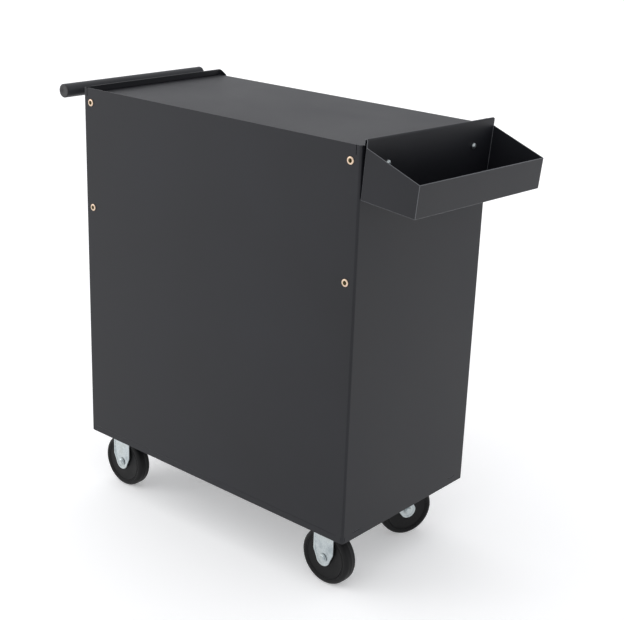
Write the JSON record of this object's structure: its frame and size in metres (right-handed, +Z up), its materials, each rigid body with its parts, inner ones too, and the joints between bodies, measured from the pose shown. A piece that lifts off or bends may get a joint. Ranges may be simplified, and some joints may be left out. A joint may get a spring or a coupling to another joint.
{
  "type": "rolling tool chest",
  "caption": "Charcoal steel rolling tool chest on casters, with front drawers, a gallery-edged top, a side push handle and an open bin hung on the other side.",
  "frame": {"origin": "on the floor under the middle of the whole object's bounding box, the wheels standing on z = 0", "axes": "+Z up, drawers open towards -Y, push handle on +X, side bin on -X"},
  "size_m": [0.7918, 0.3506, 0.7611],
  "materials": {
    "cabinet_coat": "fine-textured satin charcoal powder coat",
    "handle_coat": "satin charcoal powder coat on tube and brackets",
    "pull_coat": "smooth satin black coat",
    "cap_plastic": "moulded black plastic",
    "galvanised": "galvanised sheet steel",
    "bright_zinc": "bright zinc plating",
    "yellow_zinc": "yellow zinc plating",
    "wheel_rubber": "solid black rubber"
  },
  "bodies": {
    "cabinet": {"base_panel": "cabinet_coat", "bin_screw_back": "bright_zinc", "bin_screw_front": "bright_zinc", "cabinet_shell": "cabinet_coat", "handle_bracket_back": "handle_coat", "handle_bracket_front": "handle_coat", "handle_cap_back": "cap_plastic", "handle_cap_front": "cap_plastic", "handle_tube": "handle_coat", "lock_housing": "bright_zinc", "rigid_caster_left_axle_bolt": "bright_zinc", "rigid_caster_left_fork": "bright_zinc", "rigid_caster_right_axle_bolt": "bright_zinc", "rigid_caster_right_fork": "bright_zinc", "rivet_nut_lower_left": "yellow_zinc", "rivet_nut_lower_right": "yellow_zinc", "rivet_nut_upper_left": "yellow_zinc", "rivet_nut_upper_right": "yellow_zinc", "side_bin": "cabinet_coat", "slide_rack_left": "galvanised", "slide_rack_right": "galvanised", "swivel_caster_left_plate": "bright_zinc", "swivel_caster_right_plate": "bright_zinc", "worktop": "cabinet_coat"},
    "drawer_1": {"drawer_1_box": "galvanised", "drawer_1_front": "cabinet_coat", "drawer_1_pull": "pull_coat", "drawer_1_slide_left": "galvanised", "drawer_1_slide_right": "galvanised"},
    "drawer_2": {"drawer_2_box": "galvanised", "drawer_2_front": "cabinet_coat", "drawer_2_pull": "pull_coat", "drawer_2_slide_left": "galvanised", "drawer_2_slide_right": "galvanised"},
    "drawer_3": {"drawer_3_box": "galvanised", "drawer_3_front": "cabinet_coat", "drawer_3_pull": "pull_coat", "drawer_3_slide_left": "galvanised", "drawer_3_slide_right": "galvanised"},
    "drawer_4": {"drawer_4_box": "galvanised", "drawer_4_front": "cabinet_coat", "drawer_4_pull": "pull_coat", "drawer_4_slide_left": "galvanised", "drawer_4_slide_right": "galvanised"},
    "drawer_5": {"drawer_5_box": "galvanised", "drawer_5_front": "cabinet_coat", "drawer_5_pull": "pull_coat", "drawer_5_slide_left": "galvanised", "drawer_5_slide_right": "galvanised"},
    "lock_bar": {"lock_bar": "galvanised"},
    "lock_cylinder": {"lock_cylinder": "bright_zinc"},
    "rigid_wheel_left": {"rigid_caster_left_wheel": "wheel_rubber"},
    "rigid_wheel_right": {"rigid_caster_right_wheel": "wheel_rubber"},
    "swivel_fork_left": {"swivel_caster_left_axle_bolt": "bright_zinc", "swivel_caster_left_fork": "bright_zinc"},
    "swivel_wheel_left": {"swivel_caster_left_wheel": "wheel_rubber"},
    "swivel_fork_right": {"swivel_caster_right_axle_bolt": "bright_zinc", "swivel_caster_right_fork": "bright_zinc"},
    "swivel_wheel_right": {"swivel_caster_right_wheel": "wheel_rubber"}
  },
  "joints": [
    {"name": "drawer_1_slide", "type": "slide", "parent": "cabinet", "child": "drawer_1", "axis": [0, -1, 0], "range_m": [0, 0.2399]},
    {"name": "drawer_2_slide", "type": "slide", "parent": "cabinet", "child": "drawer_2", "axis": [0, -1, 0], "range_m": [0, 0.2399]},
    {"name": "drawer_3_slide", "type": "slide", "parent": "cabinet", "child": "drawer_3", "axis": [0, -1, 0], "range_m": [0, 0.2399]},
    {"name": "drawer_4_slide", "type": "slide", "parent": "cabinet", "child": "drawer_4", "axis": [0, -1, 0], "range_m": [0, 0.2399]},
    {"name": "drawer_5_slide", "type": "slide", "parent": "cabinet", "child": "drawer_5", "axis": [0, -1, 0], "range_m": [0, 0.2399]},
    {"name": "lock_turn", "type": "hinge", "parent": "cabinet", "child": "lock_cylinder", "pos_m": [0.27506, -0.15815, 0.72631], "axis": [0, -1, 0], "range_deg": [0, 60]},
    {"name": "lock_bar_lift", "type": "slide", "parent": "cabinet", "child": "lock_bar", "axis": [0, 0, 1], "range_m": [0, 0.014]},
    {"name": "rigid_wheel_left_spin", "type": "hinge", "parent": "cabinet", "child": "rigid_wheel_left", "pos_m": [-0.23494, 0.13585, 0.04931], "axis": [0, 1, 0], "continuous": true},
    {"name": "rigid_wheel_right_spin", "type": "hinge", "parent": "cabinet", "child": "rigid_wheel_right", "pos_m": [0.26606, 0.13585, 0.04931], "axis": [0, 1, 0], "continuous": true},
    {"name": "swivel_left_turn", "type": "hinge", "parent": "cabinet", "child": "swivel_fork_left", "pos_m": [-0.20794, -0.05215, 0.11731], "axis": [0, 0, 1], "continuous": true},
    {"name": "swivel_wheel_left_spin", "type": "hinge", "parent": "swivel_fork_left", "child": "swivel_wheel_left", "pos_m": [-0.22275, -0.08496, 0.04931], "axis": [0.9114, -0.4115, 0], "continuous": true},
    {"name": "swivel_right_turn", "type": "hinge", "parent": "cabinet", "child": "swivel_fork_right", "pos_m": [0.23906, -0.05215, 0.11731], "axis": [0, 0, 1], "continuous": true},
    {"name": "swivel_wheel_right_spin", "type": "hinge", "parent": "swivel_fork_right", "child": "swivel_wheel_right", "pos_m": [0.24838, -0.08692, 0.04931], "axis": [0.9659, 0.2588, 0], "continuous": true}
  ],
  "couplings": [
    {"joint": "lock_turn", "follows": "lock_bar_lift", "rad_per_m": 74.8}
  ]
}
